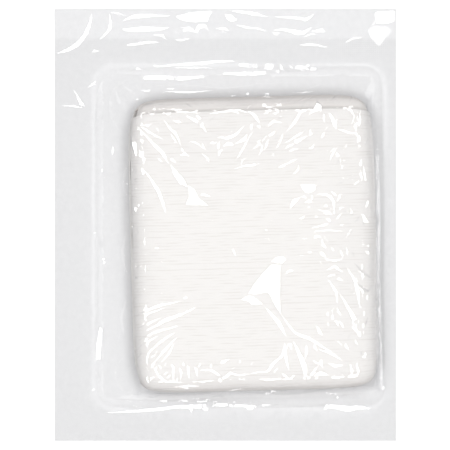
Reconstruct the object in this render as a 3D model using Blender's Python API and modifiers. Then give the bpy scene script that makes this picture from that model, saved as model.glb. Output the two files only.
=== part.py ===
"""A sterile gauze dressing in its peel pouch, lying film side up.

Metres, +Z up. The origin is the centre of the pouch's underside, and +Y points to the peel end.
A long strip of gauze, folded to and fro into a thick soft block, lies in a formed tray of clear film that is
sealed to a sheet of paper.
"""

import math

import bmesh
import bpy

# The folded gauze. A leaf is one pass of the strip, and the strip itself is eight plies thick.
GAUZE_WIDTH = 0.1115
GAUZE_LENGTH = 0.1345
GAUZE_TURN_DEG = 1.5
LEAF_THICKNESS = 0.0019
LEAF_GAP = 0.00035
SHOULDER_RUN = 0.009
EDGE_HEIGHT_SHARE = 0.56
LEAF_EDGE_SHARE = 0.4
LEAF_EDGE_RUN = 0.0016
CORNER_PULL = 0.0042
SIDE_SWAY = 0.0016
END_SWAY = 0.002
FREE_EDGE_SETBACK = 0.0065

# Room between the gauze and the foot of the film's tray, on each side.
ROOM_LEFT = 0.0165
ROOM_RIGHT = 0.0038
ROOM_PEEL_END = 0.0141
ROOM_FOOT_END = 0.007

# The flat flange outside the tray, on each side. The peel end's is loose past its seal.
FLANGE_LEFT = 0.018
FLANGE_RIGHT = 0.0053
FLANGE_PEEL_END = 0.0257
FLANGE_FOOT_END = 0.0148
PEEL_SEAL_WIDTH = 0.0115

# The webs.
PAPER_THICKNESS = 0.0004
FILM_THICKNESS = 0.0004
SEAT_GAP = 0.0003
PEEL_CURL = 0.0016
RIPPLE_HEIGHT = 0.0013
RIPPLE_LENGTH = 0.0115
RIPPLE_WANDER = 1.8

# The film's tray and its roof over the gauze.
TRAY_CORNER_RADIUS = 0.009
WALL_RUN = 0.0016
WALL_HEIGHT_SHARE = 0.36
TOP_CLEARANCE = 0.0007
SIDE_CLEARANCE = 0.0009
FOLD_HEIGHT = 0.0016
FOLD_HALF_WIDTH = 0.0062

# One row for each leaf, from the paper up: how far it lies to the side, and how far its fold falls short
# of the block's end, as shares of SIDE_SWAY and END_SWAY.
LEAF_COLUMNS = ("side", "short")
LEAVES = (
    (-0.9, 0.5),
    (-0.3, 0.2),
    (0.4, 0.9),
    (-0.6, 0.0),
    (0.7, 0.6),
    (0.1, 0.1),
    (0.9, 0.7),
    (0.3, 0.3),
)

# One row for each main fold of the film over the gauze. Its ends are shares of the block's half width and
# half length from the block's centre, its height and its width are shares of FOLD_HEIGHT and
# FOLD_HALF_WIDTH.
FOLD_COLUMNS = ("from_x", "from_y", "to_x", "to_y", "height", "width")
FOLDS = (
    (-0.98, 0.88, -0.46, 0.30, 1.0, 0.9),
    (-0.94, 0.72, -0.70, 0.20, 0.7, 0.8),
    (-0.72, 0.90, -0.50, 0.60, 0.6, 0.8),
    (-0.30, 0.88, 0.02, 0.66, 0.6, 0.9),
    (0.42, 0.90, 0.10, 0.58, 0.8, 0.9),
    (0.58, 0.92, 0.66, 0.60, 0.7, 0.8),
    (0.98, 0.86, 0.62, 0.52, 0.9, 1.1),
    (0.90, 0.36, 0.56, 0.26, 0.7, 1.0),
    (0.26, -0.10, 0.10, -0.36, 1.0, 1.0),
    (0.20, -0.40, 0.52, -0.96, 0.9, 0.9),
    (0.36, -0.62, 0.92, -0.88, 0.8, 0.9),
    (0.62, -0.24, 0.88, -0.62, 0.8, 0.9),
    (0.96, -0.10, 0.84, -0.40, 0.6, 0.9),
    (-0.96, -0.46, -0.56, -0.34, 0.7, 0.8),
    (-0.94, -0.66, -0.44, -0.40, 0.9, 0.8),
    (-0.90, -0.94, -0.66, -0.52, 0.8, 0.9),
    (-0.40, -0.94, -0.30, -0.72, 0.5, 0.9),
    (0.06, -0.95, 0.14, -0.74, 0.5, 0.9),
    (-0.90, 0.95, -1.22, 1.14, 1.2, 0.9),
    (-1.00, 0.60, -1.18, 0.82, 0.8, 0.8),
    (-0.92, -0.94, -1.22, -1.05, 1.2, 0.9),
    (0.84, 1.00, 0.98, 1.14, 0.9, 0.8),
)

# How finely each stretch is divided.
LEAF_STEPS = 7
BEND_STEPS = 5
GAUZE_STEPS = 11
SHOULDER_STEPS = 4
ROOF_STEP = 0.0068
RAMP_STEP = 0.0034
FLANGE_STEP = 0.0085
PAPER_STEP = 0.013


LEAF_PITCH = LEAF_THICKNESS + LEAF_GAP
STACK_HEIGHT = LEAF_THICKNESS + (len(LEAVES) - 1) * LEAF_PITCH
PAPER_TOP = PAPER_THICKNESS
SEAT_HEIGHT = PAPER_TOP + SEAT_GAP
TRAY_WIDTH = ROOM_LEFT + GAUZE_WIDTH + ROOM_RIGHT
TRAY_LENGTH = ROOM_PEEL_END + GAUZE_LENGTH + ROOM_FOOT_END
POUCH_WIDTH = FLANGE_LEFT + TRAY_WIDTH + FLANGE_RIGHT
POUCH_LENGTH = FLANGE_PEEL_END + TRAY_LENGTH + FLANGE_FOOT_END
TRAY_LEFT = -POUCH_WIDTH / 2 + FLANGE_LEFT
TRAY_RIGHT = TRAY_LEFT + TRAY_WIDTH
TRAY_FOOT = -POUCH_LENGTH / 2 + FLANGE_FOOT_END
TRAY_PEEL = TRAY_FOOT + TRAY_LENGTH
GAUZE_X = TRAY_LEFT + ROOM_LEFT + GAUZE_WIDTH / 2
GAUZE_Y = TRAY_FOOT + ROOM_FOOT_END + GAUZE_LENGTH / 2
TURN_COS = math.cos(math.radians(GAUZE_TURN_DEG))
TURN_SIN = math.sin(math.radians(GAUZE_TURN_DEG))


def smooth(t):
    """0 below 0, 1 above 1, and an even S between."""
    t = min(max(t, 0.0), 1.0)
    return t * t * (3 - 2 * t)


def spaced(start, end, step):
    """Even places from start up to end, without end, at most one step apart."""
    count = max(1, math.ceil((end - start) / step - 1e-9))
    return [start + (end - start) * i / count for i in range(count)]


def lines(stretches, end):
    """The grid lines of (start, step) stretches that follow on from each other up to end."""
    ends = [start for start, _ in stretches[1:]] + [end]
    places = [p for (start, step), stop in zip(stretches, ends) for p in spaced(start, stop, step)]
    return places + [end]


def material(name, colour, roughness, alpha=1.0):
    """A plain finish for a sub-part."""
    made = bpy.data.materials.new(name)
    made.use_nodes = True
    shader = made.node_tree.nodes["Principled BSDF"]
    shader.inputs["Base Color"].default_value = (*colour, 1.0)
    shader.inputs["Roughness"].default_value = roughness
    shader.inputs["Metallic"].default_value = 0.0
    shader.inputs["Alpha"].default_value = alpha
    made.diffuse_color = (*colour, alpha)
    return made


def grid_object(name, columns, rows, place, collection):
    """An open grid of columns by rows of vertices, each moved to where place(column, row) puts it."""
    shape = bmesh.new()
    bmesh.ops.create_grid(shape, x_segments=columns - 1, y_segments=rows - 1, size=0.5)
    for vertex in shape.verts:
        column = round((vertex.co.x + 0.5) * (columns - 1))
        row = round((vertex.co.y + 0.5) * (rows - 1))
        vertex.co = place(column, row)
    mesh = bpy.data.meshes.new(name)
    shape.to_mesh(mesh)
    shape.free()
    made = bpy.data.objects.new(name, mesh)
    collection.objects.link(made)
    return made


def thicken(thing, thickness, offset):
    """A wall on an open sheet: offset 1 puts it all on the side that the faces look to, 0 half on each."""
    wall = thing.modifiers.new("wall", "SOLIDIFY")
    wall.thickness = thickness
    wall.offset = offset
    wall.use_even_offset = offset > 0
    return wall


def made_real(thing):
    """Puts the object's evaluated mesh in place of its modifiers."""
    graph = bpy.context.evaluated_depsgraph_get()
    mesh = bpy.data.meshes.new_from_object(thing.evaluated_get(graph))
    thing.modifiers.clear()
    thing.data = mesh


def finish(thing, finish_material):
    """Gives the object its material and smooth shading, with sharp edges where it turns hard."""
    thing.data.materials.clear()
    thing.data.materials.append(finish_material)
    thing.data.shade_smooth()
    thing.data.set_sharp_from_angle(angle=math.radians(40))


def past_seal(y):
    """How far y lies along the loose flap past the peel seal, from 0 at the seal to 1 at the cut edge."""
    start = TRAY_PEEL + PEEL_SEAL_WIDTH
    return min(max((y - start) / (POUCH_LENGTH / 2 - start), 0.0), 1.0)


def web_lift(y):
    """How far both webs curl up off the surface, towards the cut edge of the peel end."""
    return PEEL_CURL * past_seal(y) ** 2


def shoulder_share(inside):
    """The block's height, as a share of its full height, this far in from one of its edges."""
    t = min(max(inside / SHOULDER_RUN, 0.0), 1.0)
    return EDGE_HEIGHT_SHARE + (1 - EDGE_HEIGHT_SHARE) * math.sqrt(1 - (1 - t) ** 2)


def on_block(x, y):
    """A point of the pouch as the turned block sees it, from the block's centre."""
    right, up = x - GAUZE_X, y - GAUZE_Y
    return right * TURN_COS + up * TURN_SIN, up * TURN_COS - right * TURN_SIN


def on_pouch(right, up):
    """A point given from the block's centre and along its sides, as the pouch sees it."""
    return GAUZE_X + right * TURN_COS - up * TURN_SIN, GAUZE_Y + right * TURN_SIN + up * TURN_COS


def tent_share(inside, room):
    """The roof's share of its full height, this far in from the block's edge, or out if negative.

    The film runs straight from its formed wall to where it touches the block's round shoulder, and then
    lies on it. The shoulder is a quarter of an ellipse, and is worked on here as a unit circle.
    """
    wide = SHOULDER_RUN
    tall = 1 - EDGE_HEIGHT_SHARE
    foot_x = -(room - SIDE_CLEARANCE + wide) / wide
    foot_z = (WALL_HEIGHT_SHARE - EDGE_HEIGHT_SHARE) / tall
    away = math.hypot(foot_x, foot_z)
    touch = math.atan2(foot_z, foot_x) % (2 * math.pi) - math.acos(1 / away)
    at = (inside + SIDE_CLEARANCE - wide) / wide
    if at >= 0:
        return 1.0
    if at > math.cos(touch):
        return EDGE_HEIGHT_SHARE + tall * math.sqrt(1 - at * at)
    along = (at - foot_x) / (math.cos(touch) - foot_x)
    return EDGE_HEIGHT_SHARE + tall * (foot_z + (math.sin(touch) - foot_z) * max(along, 0.0))


def inside_tray(x, y):
    """How far a point lies inside the tray's foot line, a rectangle with round corners."""
    radius = TRAY_CORNER_RADIUS
    out_x = abs(x - (TRAY_LEFT + TRAY_RIGHT) / 2) - TRAY_WIDTH / 2 + radius
    out_y = abs(y - (TRAY_FOOT + TRAY_PEEL) / 2) - TRAY_LENGTH / 2 + radius
    corner = math.hypot(max(out_x, 0.0), max(out_y, 0.0))
    return radius - corner - min(max(out_x, out_y), 0.0)


def fold_rise(right, up):
    """How far the main folds lift the film, as a share of FOLD_HEIGHT, this far from the block's centre."""
    rise = 0.0
    for row in FOLDS:
        fold = dict(zip(FOLD_COLUMNS, row))
        away_x = right - fold["from_x"] * GAUZE_WIDTH / 2
        away_y = up - fold["from_y"] * GAUZE_LENGTH / 2
        run_x = (fold["to_x"] - fold["from_x"]) * GAUZE_WIDTH / 2
        run_y = (fold["to_y"] - fold["from_y"]) * GAUZE_LENGTH / 2
        length = math.hypot(run_x, run_y)
        along = (away_x * run_x + away_y * run_y) / length**2
        aside = abs(away_x * run_y - away_y * run_x) / length
        across = max(1 - aside / (FOLD_HALF_WIDTH * fold["width"]), 0.0)
        taper = smooth(min(along, 1 - along) * 4 + 0.4)
        rise = max(rise, fold["height"] * smooth(across) * taper)
    return rise


def ripple_rise(x, y):
    """How far the loose flap's ripples lift the film off the paper, as a share of RIPPLE_HEIGHT."""
    wander = RIPPLE_WANDER * math.sin(2.2 * math.pi * x / POUCH_WIDTH)
    swing = 2 * math.pi * (y - TRAY_PEEL) / RIPPLE_LENGTH + wander
    edge = 0.55 + 0.45 * math.cos(2 * math.pi * x / POUCH_WIDTH + 0.6)
    return smooth(past_seal(y) * 2.5) * edge * (1 - math.cos(swing)) / 2


def film_underside(x, y):
    """The height of the film's underside over a point of the pouch."""
    right, up = on_block(x, y)
    left = right + GAUZE_WIDTH / 2
    foot = up + GAUZE_LENGTH / 2
    share_x = min(tent_share(left, ROOM_LEFT), tent_share(GAUZE_WIDTH - left, ROOM_RIGHT))
    share_y = min(tent_share(foot, ROOM_FOOT_END), tent_share(GAUZE_LENGTH - foot, ROOM_PEEL_END))
    wall = smooth(inside_tray(x, y) / WALL_RUN)
    roof = (STACK_HEIGHT + TOP_CLEARANCE) * share_x * share_y + FOLD_HEIGHT * fold_rise(right, up)
    return SEAT_HEIGHT + web_lift(y) + RIPPLE_HEIGHT * ripple_rise(x, y) + wall * roof


def strip_path():
    """The folded strip's centreline, free end first, as (y, z) points from the block's centre and foot."""
    half = GAUZE_LENGTH / 2
    reach = (LEAF_PITCH + LEAF_THICKNESS) / 2
    short = [END_SWAY * dict(zip(LEAF_COLUMNS, row))["short"] for row in LEAVES]
    last = len(LEAVES) - 1
    path = []
    for leaf in range(len(LEAVES)):
        heading = -1 if leaf % 2 == 0 else 1
        height = LEAF_THICKNESS / 2 + leaf * LEAF_PITCH
        before = short[max(leaf - 1, 0)] + reach
        start = -heading * (half - (FREE_EDGE_SETBACK if leaf == 0 else before))
        end = heading * (half - (FREE_EDGE_SETBACK if leaf == last else short[leaf] + reach))
        path += [(start + (end - start) * i / LEAF_STEPS, height) for i in range(LEAF_STEPS + 1)]
        if leaf < last:
            for i in range(1, BEND_STEPS):
                turn = math.pi * i / BEND_STEPS
                swing = LEAF_PITCH / 2
                rise = swing * (1 - math.cos(turn))
                path.append((end + heading * swing * math.sin(turn), height + rise))
    return path


def leaf_sway(height):
    """How far the block lies to the side at this height above its foot, between the leaves' own values."""
    sides = [dict(zip(LEAF_COLUMNS, row))["side"] for row in LEAVES]
    place = min(max((height - LEAF_THICKNESS / 2) / LEAF_PITCH, 0.0), len(sides) - 1.001)
    lower = int(place)
    return SIDE_SWAY * (sides[lower] + (sides[lower + 1] - sides[lower]) * smooth(place - lower))


def soften(point):
    """Presses the square block into its soft form: round shoulders, drawn-in corners, swaying leaves."""
    across = min(abs(point.x) / (GAUZE_WIDTH / 2), 1.0)
    along = min(abs(point.y) / (GAUZE_LENGTH / 2), 1.0)
    pull = CORNER_PULL * (across * along) ** 8
    inside_x = GAUZE_WIDTH / 2 - abs(point.x)
    inside_y = GAUZE_LENGTH / 2 - abs(point.y)
    inward = (abs(leaf_sway(point.z)) - leaf_sway(point.z) * math.copysign(1, point.x)) * across**6
    right = point.x - math.copysign(inward + pull, point.x)
    up = point.y - math.copysign(pull, point.y)
    height = SEAT_HEIGHT + point.z * shoulder_share(inside_x) * shoulder_share(inside_y)
    return (*on_pouch(right, up), height)


def backing_paper(collection):
    """The pouch's back: a sheet of white paper, flat on the surface and curling a little at the peel end."""
    seal_end = TRAY_PEEL + PEEL_SEAL_WIDTH
    columns = lines([(-POUCH_WIDTH / 2, 2 * PAPER_STEP)], POUCH_WIDTH / 2)
    rows = lines([(-POUCH_LENGTH / 2, 4 * PAPER_STEP), (seal_end, PAPER_STEP / 5)], POUCH_LENGTH / 2)
    sheet = grid_object(
        "backing_paper",
        len(columns),
        len(rows),
        lambda i, j: (columns[i], rows[j], web_lift(rows[j])),
        collection,
    )
    thicken(sheet, PAPER_THICKNESS, 1)
    made_real(sheet)
    finish(sheet, material("medical_paper", (0.82, 0.82, 0.83), 0.75))
    return sheet


def gauze(collection):
    """The dressing: a strip of gauze folded to and fro, its leaves thin along their side edges."""
    path = strip_path()
    half = GAUZE_WIDTH / 2
    near_edge = [half - LEAF_EDGE_RUN * (1 - t) for t in (1.0, 0.75, 0.35, 0.0)]
    inner = [half - SHOULDER_RUN * (i + 1) / SHOULDER_STEPS for i in range(SHOULDER_STEPS)]
    flat_end = inner[-1]
    columns = sorted(
        {round(side * x, 9) for side in (-1, 1) for x in near_edge + inner}
        | {round(x, 9) for x in spaced(-flat_end, flat_end, 2 * flat_end / GAUZE_STEPS)}
    )
    strip = grid_object(
        "gauze",
        len(columns),
        len(path),
        lambda i, j: (columns[i], path[j][0], path[j][1]),
        collection,
    )
    wall = thicken(strip, LEAF_THICKNESS, 0)
    full = strip.vertex_groups.new(name="full thickness")
    for vertex in strip.data.vertices:
        inside = (half - abs(vertex.co.x)) / LEAF_EDGE_RUN
        share = math.sqrt(1 - (1 - min(max(inside, 0.0), 1.0)) ** 2)
        full.add([vertex.index], LEAF_EDGE_SHARE + (1 - LEAF_EDGE_SHARE) * share, "REPLACE")
    wall.vertex_group = full.name
    made_real(strip)
    for vertex in strip.data.vertices:
        vertex.co = soften(vertex.co)
    finish(strip, material("cotton_gauze", (0.9, 0.89, 0.87), 0.95))
    return strip


def film_cover(collection):
    """The pouch's clear front: flat flange, formed tray wall, roof over the gauze and rippled peel flap."""
    gauze_left, gauze_right = GAUZE_X - GAUZE_WIDTH / 2, GAUZE_X + GAUZE_WIDTH / 2
    gauze_foot, gauze_peel = GAUZE_Y - GAUZE_LENGTH / 2, GAUZE_Y + GAUZE_LENGTH / 2
    wall_step = WALL_RUN / 2
    columns = lines(
        [
            (-POUCH_WIDTH / 2, FLANGE_STEP),
            (TRAY_LEFT, wall_step),
            (TRAY_LEFT + WALL_RUN, RAMP_STEP),
            (gauze_left + SHOULDER_RUN, ROOF_STEP),
            (gauze_right - SHOULDER_RUN, RAMP_STEP),
            (TRAY_RIGHT - WALL_RUN, wall_step),
            (TRAY_RIGHT, FLANGE_STEP),
        ],
        POUCH_WIDTH / 2,
    )
    rows = lines(
        [
            (-POUCH_LENGTH / 2, FLANGE_STEP),
            (TRAY_FOOT, wall_step),
            (TRAY_FOOT + WALL_RUN, RAMP_STEP),
            (gauze_foot + SHOULDER_RUN, ROOF_STEP),
            (gauze_peel - SHOULDER_RUN, RAMP_STEP),
            (TRAY_PEEL - WALL_RUN, wall_step),
            (TRAY_PEEL, FLANGE_STEP),
            (TRAY_PEEL + PEEL_SEAL_WIDTH, RIPPLE_LENGTH / 5),
        ],
        POUCH_LENGTH / 2,
    )
    film = grid_object(
        "film_cover",
        len(columns),
        len(rows),
        lambda i, j: (columns[i], rows[j], film_underside(columns[i], rows[j])),
        collection,
    )
    thicken(film, FILM_THICKNESS, 1)
    made_real(film)
    finish(film, material("clear_film", (0.93, 0.94, 0.96), 0.08, alpha=0.25))
    return film


def clear_scene():
    for thing in list(bpy.data.objects):
        bpy.data.objects.remove(thing)


def main():
    clear_scene()
    dressing = bpy.data.collections.new("sterile_gauze_dressing")
    bpy.context.scene.collection.children.link(dressing)
    backing_paper(dressing)
    gauze(dressing)
    film_cover(dressing)


main()
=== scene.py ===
# The looks of a sterile gauze dressing in its peel pouch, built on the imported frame.
import math

import bpy
import numpy as np
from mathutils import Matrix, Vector, geometry


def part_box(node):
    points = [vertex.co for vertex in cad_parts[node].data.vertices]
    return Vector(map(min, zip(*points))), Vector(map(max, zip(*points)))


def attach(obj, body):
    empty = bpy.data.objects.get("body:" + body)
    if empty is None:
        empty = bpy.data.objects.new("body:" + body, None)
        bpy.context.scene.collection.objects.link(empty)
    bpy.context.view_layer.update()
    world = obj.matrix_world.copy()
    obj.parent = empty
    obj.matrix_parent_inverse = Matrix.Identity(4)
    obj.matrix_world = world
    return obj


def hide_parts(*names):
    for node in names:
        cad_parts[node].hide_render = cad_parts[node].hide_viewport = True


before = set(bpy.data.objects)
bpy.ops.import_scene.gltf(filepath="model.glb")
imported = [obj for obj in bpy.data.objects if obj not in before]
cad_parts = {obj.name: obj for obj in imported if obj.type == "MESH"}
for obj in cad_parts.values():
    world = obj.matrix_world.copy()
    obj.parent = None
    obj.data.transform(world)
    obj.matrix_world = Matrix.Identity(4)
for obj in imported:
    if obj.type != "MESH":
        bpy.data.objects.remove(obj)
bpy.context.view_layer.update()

MM = 0.001


# The backing paper. It is a web of white medical paper, uncoated so that steam and gas pass through it, and it is
# cut square with the film after the two were sealed together. It lies flat, cockles a little where nothing holds
# it, and lifts with the film at the loose peel end.

PAPER_THICKNESS = 0.15 * MM
PAPER_CELL = 1.3 * MM
PAPER_COCKLE = 0.16 * MM
COCKLE_SIZE = 17.0 * MM
COCKLE_RUN = 6.0 * MM
PEEL_CURL = 0.8 * MM
PEEL_SEAL_WIDTH = 11.5 * MM
FLANGE_LEFT = 18.0 * MM
FLANGE_RIGHT = 5.3 * MM
FLANGE_PEEL_END = 25.7 * MM
FLANGE_FOOT_END = 14.8 * MM
KNURL_PITCH_MM = 1.25
SIDE_KNURL = 0.15
KNURL_EDGE = 3.0 * MM
SEAL_EDGE = 1.2 * MM
TRAY_CORNER = 9.0 * MM

pouch_low, pouch_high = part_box("backing_paper")
tray_left = pouch_low.x + FLANGE_LEFT
tray_right = pouch_high.x - FLANGE_RIGHT
tray_foot = pouch_low.y + FLANGE_FOOT_END
tray_peel = pouch_high.y - FLANGE_PEEL_END
seal_end = tray_peel + PEEL_SEAL_WIDTH


def select_only(*things):
    """Leaves only these objects selected, with the first one active."""
    bpy.ops.object.select_all(action="DESELECT")
    for thing in things:
        thing.select_set(True)
    bpy.context.view_layer.objects.active = things[0]


def even_lines(stretches, end):
    """Grid lines over (start, step) stretches that follow each other up to end, evenly spaced in each."""
    stops = [start for start, _ in stretches[1:]] + [end]
    lines = []
    for (start, step), stop in zip(stretches, stops):
        count = max(1, math.ceil((stop - start) / step - 1e-6))
        lines.extend(start + (stop - start) * i / count for i in range(count))
    return np.array(lines + [end])


def sheet_of(name, columns, rows):
    """A flat grid with one vertex at each crossing. Returns it with each vertex's column and row number."""
    bpy.ops.object.select_all(action="DESELECT")
    bpy.ops.mesh.primitive_grid_add(x_subdivisions=len(columns) - 1, y_subdivisions=len(rows) - 1, size=1)
    sheet = bpy.context.object
    sheet.name = name
    places = np.zeros(len(sheet.data.vertices) * 3)
    sheet.data.vertices.foreach_get("co", places)
    places = places.reshape(-1, 3) + 0.5
    column = np.rint(places[:, 0] * (len(columns) - 1)).astype(int)
    row = np.rint(places[:, 1] * (len(rows) - 1)).astype(int)
    return sheet, column, row


def move_points(piece, x, y, z):
    """Puts each vertex of a mesh at its place in metres."""
    piece.data.vertices.foreach_set("co", np.stack([x, y, z], axis=1).ravel())
    piece.data.update()


def wall(piece, thickness, offset, smooth_to=60):
    """Gives an open sheet its thickness, closes its rim, and shades it smooth up to this many degrees."""
    select_only(piece)
    solidify = piece.modifiers.new("thickness", "SOLIDIFY")
    solidify.thickness = thickness
    solidify.offset = offset
    bpy.ops.object.modifier_apply(modifier=solidify.name)
    bpy.ops.object.shade_smooth_by_angle(angle=math.radians(smooth_to))


def eased(t):
    """0 below 0, 1 above 1, and an even S between."""
    t = np.clip(t, 0.0, 1.0)
    return t * t * (3 - 2 * t)


def waver(x, y, size, seed):
    """Smooth random values from -1 to 1 over the plane, in patches of about this size."""
    lattice = np.random.default_rng(seed).uniform(-1, 1, (256, 256))
    across, up = x / size + 128.37, y / size + 128.91
    i, j = np.floor(across).astype(int), np.floor(up).astype(int)
    u, v = eased(across - i), eased(up - j)
    near = lattice[i % 256, j % 256] * (1 - u) + lattice[(i + 1) % 256, j % 256] * u
    far = lattice[i % 256, (j + 1) % 256] * (1 - u) + lattice[(i + 1) % 256, (j + 1) % 256] * u
    return near * (1 - v) + far * v


def inside_tray(x, y):
    """How far a point lies inside the tray's foot line, a rectangle with round corners."""
    out_x = np.abs(x - (tray_left + tray_right) / 2) - (tray_right - tray_left) / 2 + TRAY_CORNER
    out_y = np.abs(y - (tray_foot + tray_peel) / 2) - (tray_peel - tray_foot) / 2 + TRAY_CORNER
    corner = np.hypot(np.maximum(out_x, 0), np.maximum(out_y, 0))
    return TRAY_CORNER - corner - np.minimum(np.maximum(out_x, out_y), 0)


def web_lift(y):
    """How far both webs curl up off the surface, towards the cut edge of the peel end."""
    return PEEL_CURL * np.clip((y - seal_end) / (pouch_high.y - seal_end), 0, 1) ** 2


def sealed_share(x, y):
    """1 where film and paper are sealed together, and 0 in the tray and on the loose peel flap."""
    outside = eased((-inside_tray(x, y) - 0.8 * MM) / SEAL_EDGE)
    return outside * (1 - eased((y - seal_end) / (1.5 * MM)))


def knurled_share(x, y):
    """How deep the seal bar's dots are pressed: deep across both ends, and faint along the sides."""
    at_foot = eased((tray_foot - 5 * MM - y) / KNURL_EDGE)
    across_ends = np.maximum(at_foot, eased((y - tray_peel - 2 * MM) / KNURL_EDGE))
    return sealed_share(x, y) * (SIDE_KNURL + (1 - SIDE_KNURL) * across_ends)


def keep_on_points(piece, name, values):
    """Stores a value from 0 to 1 for each vertex, for the materials to read."""
    attribute = piece.data.attributes.new(name, "FLOAT", "POINT")
    attribute.data.foreach_set("value", np.asarray(values, np.float32))


def linear(hex_colour):
    """An sRGB hex colour as the linear values that shaders take."""
    parts = [int(hex_colour[i : i + 2], 16) / 255 for i in (1, 3, 5)]
    return (*[p / 12.92 if p <= 0.04045 else ((p + 0.055) / 1.055) ** 2.4 for p in parts], 1.0)


def add_node(material, kind, settings=None, inputs=None):
    """Adds a node with its settings, and fills its sockets with values or with other nodes' outputs."""
    node = material.node_tree.nodes.new(kind)
    for name, value in (settings or {}).items():
        setattr(node, name, value)
    for name, value in (inputs or {}).items():
        if isinstance(value, bpy.types.NodeSocket):
            material.node_tree.links.new(value, node.inputs[name])
        else:
            node.inputs[name].default_value = value
    return node


def new_material(name):
    """An empty node material that one shader will be linked to."""
    material = bpy.data.materials.new(name)
    material.use_nodes = True
    material.node_tree.nodes.clear()
    return material


paper_columns = even_lines([(pouch_low.x, PAPER_CELL)], pouch_high.x)
paper_rows = even_lines([(pouch_low.y, PAPER_CELL)], pouch_high.y)
paper, column, row = sheet_of("backing_paper_web", paper_columns, paper_rows)
x, y = paper_columns[column], paper_rows[row]
loose = eased(inside_tray(x, y) / COCKLE_RUN)
cockle = PAPER_COCKLE * loose * (0.5 + 0.5 * waver(x, y, COCKLE_SIZE, seed=3))
move_points(paper, x, y, web_lift(y) + cockle)
keep_on_points(paper, "knurled", knurled_share(x, y))
wall(paper, PAPER_THICKNESS, offset=1)

# Medical paper is bleached kraft: matt, faintly cloudy where its fibres clump, and pressed with the knurled seal
# bar's dots all round the tray.
medical_paper = new_material("medical_paper")
place = add_node(medical_paper, "ShaderNodeTexCoord").outputs["Object"]
clumps = add_node(
    medical_paper,
    "ShaderNodeTexNoise",
    inputs={"Vector": place, "Scale": 420.0, "Detail": 4.0, "Roughness": 0.6},
)
shade = add_node(
    medical_paper,
    "ShaderNodeValToRGB",
    inputs={"Fac": clumps.outputs["Fac"]},
)
shade.color_ramp.elements[0].position = 0.3
shade.color_ramp.elements[0].color = linear("#DCDCDD")
shade.color_ramp.elements[1].position = 0.72
shade.color_ramp.elements[1].color = linear("#E1E1E2")
fibres = add_node(
    medical_paper,
    "ShaderNodeTexNoise",
    inputs={"Vector": place, "Scale": 2600.0, "Detail": 3.0, "Roughness": 0.65},
)


def knurl_height(material, place):
    """The seal bar's dots: a diamond pattern of round points, as high as the piece is sealed there."""
    turned = add_node(
        material,
        "ShaderNodeMapping",
        inputs={
            "Vector": place,
            "Rotation": (0.0, 0.0, math.radians(45.0)),
            "Scale": (1000.0 / KNURL_PITCH_MM,) * 3,
        },
    )
    apart = add_node(material, "ShaderNodeSeparateXYZ", inputs={"Vector": turned.outputs["Vector"]})
    waves = []
    for axis in ("X", "Y"):
        angle = {0: apart.outputs[axis], 1: math.tau}
        turn = add_node(material, "ShaderNodeMath", {"operation": "MULTIPLY"}, angle)
        wave = add_node(material, "ShaderNodeMath", {"operation": "SINE"}, {0: turn.outputs[0]})
        waves.append(wave.outputs[0])
    dots = add_node(material, "ShaderNodeMath", {"operation": "MULTIPLY"}, {0: waves[0], 1: waves[1]})
    raised = add_node(material, "ShaderNodeMath", {"operation": "MAXIMUM"}, {0: dots.outputs[0], 1: 0.0})
    knurled = add_node(material, "ShaderNodeAttribute", {"attribute_name": "knurled"})
    return add_node(
        material,
        "ShaderNodeMath",
        {"operation": "MULTIPLY"},
        {0: raised.outputs[0], 1: knurled.outputs["Fac"]},
    ).outputs[0]


pressed = add_node(
    medical_paper,
    "ShaderNodeBump",
    inputs={"Height": knurl_height(medical_paper, place), "Strength": 0.5, "Distance": 0.06 * MM},
)
grain = add_node(
    medical_paper,
    "ShaderNodeBump",
    inputs={
        "Height": fibres.outputs["Fac"],
        "Strength": 0.35,
        "Distance": 0.03 * MM,
        "Normal": pressed.outputs["Normal"],
    },
)
paper_shader = add_node(
    medical_paper,
    "ShaderNodeBsdfPrincipled",
    inputs={
        "Base Color": shade.outputs["Color"],
        "Roughness": 0.78,
        "Specular IOR Level": 0.35,
        "Normal": grain.outputs["Normal"],
    },
)
add_node(medical_paper, "ShaderNodeOutputMaterial", inputs={"Surface": paper_shader.outputs["BSDF"]})
paper.data.materials.append(medical_paper)
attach(paper, "root")
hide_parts("backing_paper")


# The gauze. It is a square metre of bleached open-weave cotton, folded to a strip of eight plies and then to and
# fro into eight leaves, so its long sides show the plies' edges and its short ends show the leaves' round folds.
# It is only pressed into shape: its shoulders are soft, its corners draw in, and it lies a little turned.

GAUZE_WIDTH = 111.5 * MM
GAUZE_LENGTH = 134.5 * MM
GAUZE_TURN = math.radians(1.5)
LEAF_THICKNESS = 2.05 * MM
LEAF_GAP = 0.2 * MM
LEAF_COUNT = 8
PLIES = 8
PLY_BULGE = 0.45 * MM
PLY_STRAY = 0.7 * MM
PLY_STRAY_SIZE = 9.0 * MM
SHOULDER_RUN = 9.0 * MM
EDGE_HEIGHT_SHARE = 0.56
CORNER_PULL = 4.2 * MM
CORNER_SHARPNESS = 8
SIDE_SHARPNESS = 6
SIDE_SWAY = 1.6 * MM
END_SWAY = 2.0 * MM
FREE_EDGE_SETBACK = 6.5 * MM
ROOM_LEFT = 16.5 * MM
ROOM_FOOT_END = 7.0 * MM
GAUZE_SEAT = 0.5 * MM
SURFACE_UNDULATION = 0.35 * MM
BROAD_UNDULATION = 21.0 * MM
SMALL_UNDULATION = 8.0 * MM
TOP_STEPS = 84
HIDDEN_STEPS = 13
BEND_STEPS = 8
ACROSS_STEPS = 64
THREAD_PITCH_MM = 1.35
PICK_PITCH_MM = 1.1

LEAF_SIDES = (-0.9, -0.3, 0.4, -0.6, 0.7, 0.1, 0.9, 0.3)
LEAF_SHORTS = (0.5, 0.2, 0.9, 0.0, 0.6, 0.1, 0.7, 0.3)

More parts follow.
